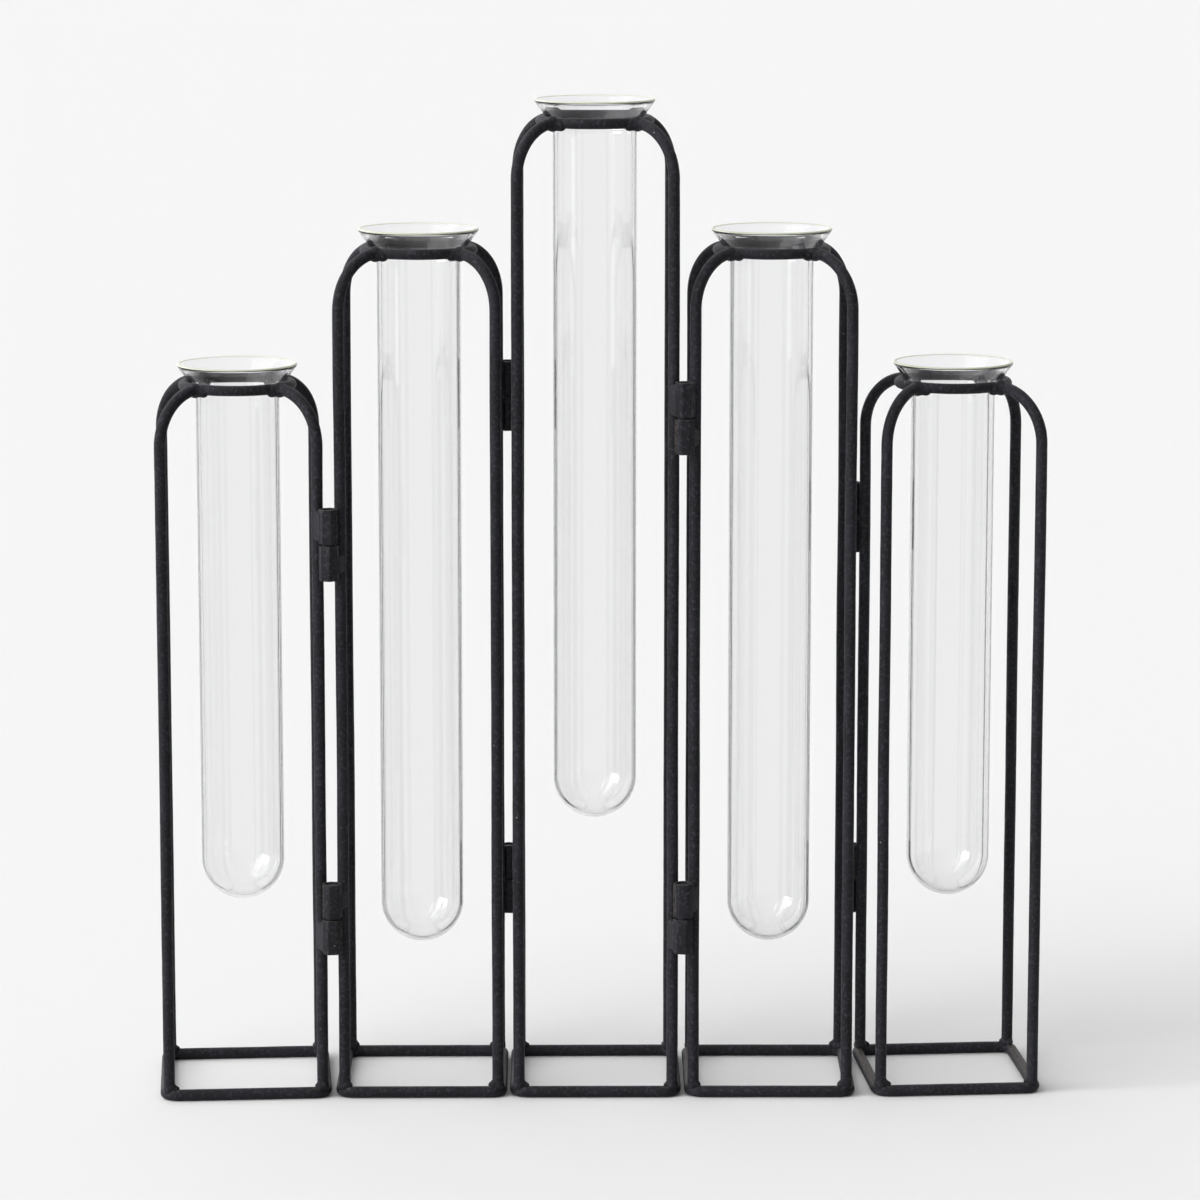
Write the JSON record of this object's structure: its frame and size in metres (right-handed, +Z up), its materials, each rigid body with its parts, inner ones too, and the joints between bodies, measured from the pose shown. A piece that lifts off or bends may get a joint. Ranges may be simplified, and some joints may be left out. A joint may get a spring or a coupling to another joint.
{
  "type": "test tube vase",
  "caption": "Folding row of black wire cages in stepped heights, hinged side to side, each holding a clear glass test tube by its flared lip for single flower stems.",
  "frame": {"origin": "centre of the bounding box, on the table under the row", "axes": "+Z up, +X along the row to the right as seen from the front, +Y from the front to the back"},
  "size_m": [0.2694, 0.0614, 0.2991],
  "materials": {
    "wire": "matte black powder coat on steel wire",
    "hinge_strap": "matte black powder coat on rolled steel strap",
    "hinge_pin": "matte black powder coat on a steel pin",
    "glass": "clear, fire-polished lip"
  },
  "bodies": {
    "cage_1": {"base_1": "wire", "leg_front_left_1": "wire", "leg_front_right_1": "wire", "leg_back_left_1": "wire", "leg_back_right_1": "wire", "ring_1": "wire", "hinge_1_2_upper_knuckle_1": "hinge_strap", "hinge_1_2_lower_knuckle_1": "hinge_strap", "hinge_1_2_lower_pin": "hinge_pin"},
    "cage_2": {"base_2": "wire", "leg_front_left_2": "wire", "leg_front_right_2": "wire", "leg_back_left_2": "wire", "leg_back_right_2": "wire", "ring_2": "wire", "hinge_1_2_upper_knuckle_2": "hinge_strap", "hinge_1_2_upper_pin": "hinge_pin", "hinge_1_2_lower_knuckle_2": "hinge_strap", "hinge_2_3_upper_knuckle_2": "hinge_strap", "hinge_2_3_upper_pin": "hinge_pin", "hinge_2_3_lower_knuckle_2": "hinge_strap"},
    "cage_3": {"base_3": "wire", "leg_front_left_3": "wire", "leg_front_right_3": "wire", "leg_back_left_3": "wire", "leg_back_right_3": "wire", "ring_3": "wire", "hinge_2_3_upper_knuckle_3": "hinge_strap", "hinge_2_3_lower_knuckle_3": "hinge_strap", "hinge_2_3_lower_pin": "hinge_pin", "hinge_3_4_upper_knuckle_3": "hinge_strap", "hinge_3_4_lower_knuckle_3": "hinge_strap", "hinge_3_4_lower_pin": "hinge_pin"},
    "cage_4": {"base_4": "wire", "leg_front_left_4": "wire", "leg_front_right_4": "wire", "leg_back_left_4": "wire", "leg_back_right_4": "wire", "ring_4": "wire", "hinge_3_4_upper_knuckle_4": "hinge_strap", "hinge_3_4_upper_pin": "hinge_pin", "hinge_3_4_lower_knuckle_4": "hinge_strap", "hinge_4_5_upper_knuckle_4": "hinge_strap", "hinge_4_5_upper_pin": "hinge_pin", "hinge_4_5_lower_knuckle_4": "hinge_strap"},
    "cage_5": {"base_5": "wire", "leg_front_left_5": "wire", "leg_front_right_5": "wire", "leg_back_left_5": "wire", "leg_back_right_5": "wire", "ring_5": "wire", "hinge_4_5_upper_knuckle_5": "hinge_strap", "hinge_4_5_lower_knuckle_5": "hinge_strap", "hinge_4_5_lower_pin": "hinge_pin"},
    "tube_1": {"tube_1": "glass"},
    "tube_2": {"tube_2": "glass"},
    "tube_3": {"tube_3": "glass"},
    "tube_4": {"tube_4": "glass"},
    "tube_5": {"tube_5": "glass"}
  },
  "joints": [
    {"name": "hinge_2_3", "type": "hinge", "parent": "cage_3", "child": "cage_2", "pos_m": [-0.02686, 0.02715, 0.0562], "axis": [0, 0, -1], "range_deg": [-0.35, 180]},
    {"name": "hinge_1_2", "type": "hinge", "parent": "cage_2", "child": "cage_1", "pos_m": [-0.07894, -0.02761, 0.0562], "axis": [0, 0, 1], "range_deg": [-4.25, 176.1]},
    {"name": "hinge_3_4", "type": "hinge", "parent": "cage_3", "child": "cage_4", "pos_m": [0.02616, -0.0267, 0.0562], "axis": [0, 0, -1], "range_deg": [-0.85, 179.5]},
    {"name": "hinge_4_5", "type": "hinge", "parent": "cage_4", "child": "cage_5", "pos_m": [0.07871, 0.02761, 0.0562], "axis": [0, 0, 1], "range_deg": [-5.05, 175.3]},
    {"name": "tube_1_lift", "type": "slide", "parent": "cage_1", "child": "tube_1", "axis": [0, 0, 1], "range_m": [0, 0.167]},
    {"name": "tube_2_lift", "type": "slide", "parent": "cage_2", "child": "tube_2", "axis": [0, 0, 1], "range_m": [0, 0.221]},
    {"name": "tube_3_lift", "type": "slide", "parent": "cage_3", "child": "tube_3", "axis": [0, 0, 1], "range_m": [0, 0.221]},
    {"name": "tube_4_lift", "type": "slide", "parent": "cage_4", "child": "tube_4", "axis": [0, 0, 1], "range_m": [0, 0.221]},
    {"name": "tube_5_lift", "type": "slide", "parent": "cage_5", "child": "tube_5", "axis": [0, 0, 1], "range_m": [0, 0.167]}
  ]
}
